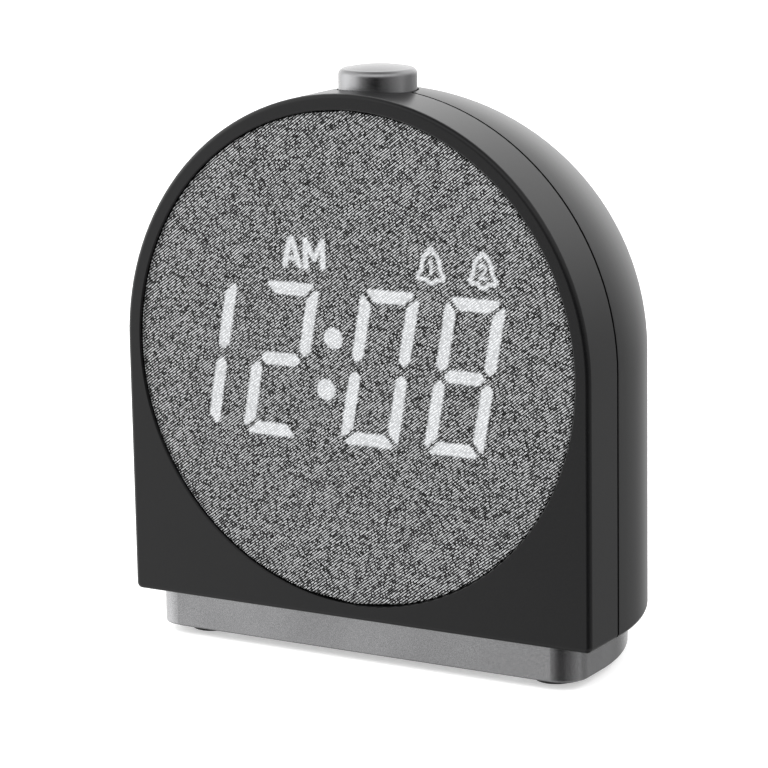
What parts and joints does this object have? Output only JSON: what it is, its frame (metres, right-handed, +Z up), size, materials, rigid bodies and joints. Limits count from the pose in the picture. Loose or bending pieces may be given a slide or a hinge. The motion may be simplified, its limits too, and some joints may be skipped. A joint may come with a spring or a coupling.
{
  "type": "alarm clock",
  "caption": "Arch-shaped desk alarm clock with a half-dome back, a round fabric-covered digital display, a low plinth and a round snooze button on top.",
  "frame": {"origin": "middle of the footprint on the surface the clock stands on", "axes": "+Z up, the display looks along -Y, +X to the right seen from the front"},
  "size_m": [0.102, 0.0636, 0.1151],
  "materials": {
    "housing": "black, fine satin grain",
    "metallic": "warm grey metallic paint, fine grain",
    "cover": "heather grey twill",
    "diffuser": "milky translucent",
    "guide": "clear light guide, lit white",
    "inner_black": "moulded black",
    "board": "solder mask over glass fibre board",
    "diode": "clear resin over phosphor",
    "steel": "zinc plated",
    "rubber": "soft black",
    "keys": "satin black",
    "contact_metal": "nickel plated spring brass",
    "lead": "white film"
  },
  "bodies": {
    "housing": {"front_bezel": "housing", "rear_shell": "housing", "plinth": "metallic", "base_plate": "inner_black", "rubber_feet": "rubber", "coin_cell": "steel", "cell_contacts": "contact_metal", "front_disc": "diffuser", "fabric_cover": "cover", "digit_segments": "guide", "indicator_guides": "guide", "display_frame": "inner_black", "display_board": "board", "display_leds": "diode", "base_screws": "steel", "display_screws": "steel", "board_screws": "steel", "main_board": "board", "set_switches": "inner_black", "snooze_switch": "inner_black", "control_chip": "inner_black", "buzzer": "inner_black", "power_board": "board", "snooze_board": "board", "power_lead": "lead", "power_socket": "steel", "socket_tongue": "inner_black", "ribbon_cable": "lead", "snooze_spring": "steel"},
    "snooze": {"snooze_button": "metallic"},
    "door": {"battery_door": "inner_black"},
    "time_key": {"time_button": "keys"},
    "alarm_one_key": {"alarm_one_button": "keys"},
    "alarm_two_key": {"alarm_two_button": "keys"},
    "minus_key": {"minus_button": "keys"},
    "plus_key": {"plus_button": "keys"},
    "dimmer_key": {"dimmer_button": "keys"}
  },
  "joints": [
    {"name": "snooze_press", "type": "slide", "parent": "housing", "child": "snooze", "axis": [0, 0, -1], "range_m": [0, 0.0012], "stiffness_N_per_m": 900, "springref_m": -0.001, "deforming": ["snooze_spring"]},
    {"name": "time_press", "type": "slide", "parent": "housing", "child": "time_key", "axis": [0, -1, 0], "range_m": [0, 0.0006], "stiffness_N_per_m": 1500, "springref_m": -0.0004},
    {"name": "alarm_one_press", "type": "slide", "parent": "housing", "child": "alarm_one_key", "axis": [0, -1, 0], "range_m": [0, 0.0006], "stiffness_N_per_m": 1500, "springref_m": -0.0004},
    {"name": "alarm_two_press", "type": "slide", "parent": "housing", "child": "alarm_two_key", "axis": [0, -1, 0], "range_m": [0, 0.0006], "stiffness_N_per_m": 1500, "springref_m": -0.0004},
    {"name": "minus_press", "type": "slide", "parent": "housing", "child": "minus_key", "axis": [0, -1, 0], "range_m": [0, 0.0006], "stiffness_N_per_m": 1500, "springref_m": -0.0004},
    {"name": "plus_press", "type": "slide", "parent": "housing", "child": "plus_key", "axis": [0, -1, 0], "range_m": [0, 0.0006], "stiffness_N_per_m": 1500, "springref_m": -0.0004},
    {"name": "dimmer_press", "type": "slide", "parent": "housing", "child": "dimmer_key", "axis": [0, -1, 0], "range_m": [0, 0.0006], "stiffness_N_per_m": 1500, "springref_m": -0.0004},
    {"name": "battery_door_turn", "type": "hinge", "parent": "housing", "child": "door", "pos_m": [0, -0.0053, 0.00145], "axis": [0, 0, 1], "range_deg": [0, 40]}
  ]
}
